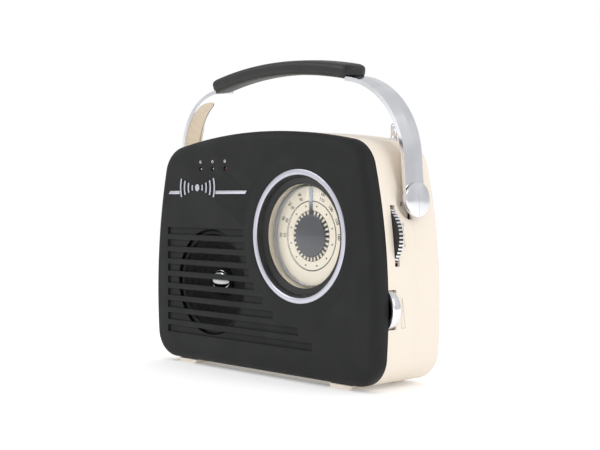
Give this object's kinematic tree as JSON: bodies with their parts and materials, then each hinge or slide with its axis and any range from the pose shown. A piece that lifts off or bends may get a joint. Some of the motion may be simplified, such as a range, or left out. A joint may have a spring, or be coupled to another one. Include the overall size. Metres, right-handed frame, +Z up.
{
  "type": "tabletop radio",
  "caption": "Portable tabletop radio with a round dial, slotted speaker front, edge wheels, swinging carry handle and pull-out aerial.",
  "frame": {"origin": "on the floor under the middle of the case", "axes": "+Z up, the front faces -Y, +X to the right of a person facing the front"},
  "size_m": [0.2824, 0.0779, 0.2603],
  "materials": {
    "cover_black": "soft-touch black, fine grain",
    "case_cream": "cream moulded plastic, satin",
    "bright_silver": "silver satin plating",
    "chrome": "bright plated plastic",
    "bezel_black": "black, satin gloss",
    "lens_clear": "clear moulded acrylic",
    "dial_cream": "printed dial card",
    "pointer_dark": "smoked plastic",
    "hub_grey": "dark grey, satin",
    "gear_plastic": "natural acetal",
    "steel": "plated steel",
    "grip_black": "soft black grip",
    "insert_cream": "cream strip",
    "board_brown": "paper laminate board",
    "board_green": "green board",
    "lamp_clear": "clear lamp bodies",
    "cell_wrap": "plain cell wrap",
    "cone_paper": "black paper pulp",
    "surround_rubber": "rolled rubber",
    "magnet_grey": "ferrite and plated yoke",
    "speaker_black": "black pressed steel",
    "ferrite": "ferrite",
    "copper": "enamelled copper wire",
    "iron": "varnished laminations",
    "black_plastic": "black moulded plastic",
    "aluminium": "extruded",
    "can_blue": "sleeved cans"
  },
  "bodies": {
    "case": {"front_cover": "cover_black", "main_case": "case_cream", "rear_cover": "case_cream", "batteries": "cell_wrap", "battery_springs": "steel", "battery_contacts": "steel", "dial_ring": "bright_silver", "dial_bezel": "bezel_black", "dial_lens": "lens_clear", "dial_plate": "dial_cream", "tuning_capacitor": "gear_plastic", "tuning_axle": "steel", "volume_pot": "steel", "band_switch_body": "steel", "speaker_frame": "speaker_black", "speaker_surround": "surround_rubber", "speaker_cone": "cone_paper", "speaker_dust_cap": "chrome", "speaker_magnet": "magnet_grey", "speaker_screws": "steel", "main_board": "board_brown", "board_screws": "steel", "power_amp": "black_plastic", "heat_sink": "aluminium", "filter_capacitors": "can_blue", "led_board": "board_green", "led_lamps": "lamp_clear", "ferrite_rod": "ferrite", "ferrite_coil": "copper", "rod_holders": "gear_plastic", "transformer_core": "iron", "transformer_coil": "copper", "mains_inlet": "black_plastic", "aux_jack": "black_plastic", "headphone_jack": "black_plastic", "case_screws": "steel", "trim_bar": "bright_silver", "feet": "case_cream", "pivot_bushes": "gear_plastic", "aerial_tube": "chrome"},
    "handle": {"handle_arms": "chrome", "handle_inserts": "insert_cream", "handle_grip": "grip_black", "pivot_caps": "chrome", "pivot_screws": "steel"},
    "tuning": {"tuning_wheel": "chrome", "tuning_pinion": "gear_plastic"},
    "dial": {"dial_pointer": "pointer_dark", "dial_hub_cap": "hub_grey", "dial_gear": "gear_plastic", "tuning_shaft": "steel"},
    "volume": {"volume_wheel": "chrome", "volume_screw": "steel"},
    "band_switch": {"band_switch_knob": "black_plastic"},
    "battery_door": {"battery_door": "case_cream"},
    "aerial_1": {"aerial_section_1": "chrome"},
    "aerial_2": {"aerial_section_2": "chrome"},
    "aerial_3": {"aerial_section_3": "chrome"},
    "aerial_4": {"aerial_section_4": "chrome", "aerial_tip": "chrome"}
  },
  "joints": [
    {"name": "handle_swing", "type": "hinge", "parent": "case", "child": "handle", "pos_m": [0, 0.0065, 0.1446], "axis": [1, 0, 0], "range_deg": [-95.5, 8]},
    {"name": "tuning_turn", "type": "hinge", "parent": "case", "child": "tuning", "pos_m": [0.1126, -0.014, 0.1156], "axis": [0, -1, 0], "range_deg": [-270, 270]},
    {"name": "dial_turn", "type": "hinge", "parent": "case", "child": "dial", "pos_m": [0.0526, -0.019, 0.1156], "axis": [0, -1, 0], "range_deg": [-90, 90]},
    {"name": "volume_turn", "type": "hinge", "parent": "case", "child": "volume", "pos_m": [0.1254, -0.02, 0.0625], "axis": [0, -1, 0], "range_deg": [-150, 150]},
    {"name": "band_select", "type": "slide", "parent": "case", "child": "band_switch", "axis": [1, 0, 0], "range_m": [-0.004, 0.004]},
    {"name": "battery_door_open", "type": "hinge", "parent": "case", "child": "battery_door", "pos_m": [0, 0.0372, 0.0126], "axis": [-1, 0, 0], "range_deg": [0, 80]},
    {"name": "aerial_pull_1", "type": "slide", "parent": "case", "child": "aerial_1", "axis": [0, 0, 1], "range_m": [0, 0.15]},
    {"name": "aerial_pull_2", "type": "slide", "parent": "aerial_1", "child": "aerial_2", "axis": [0, 0, 1], "range_m": [0, 0.15]},
    {"name": "aerial_pull_3", "type": "slide", "parent": "aerial_2", "child": "aerial_3", "axis": [0, 0, 1], "range_m": [0, 0.15]},
    {"name": "aerial_pull_4", "type": "slide", "parent": "aerial_3", "child": "aerial_4", "axis": [0, 0, 1], "range_m": [0, 0.15]}
  ],
  "couplings": [
    {"joint": "dial_turn", "follows": "tuning_turn", "ratio": -0.33333}
  ]
}
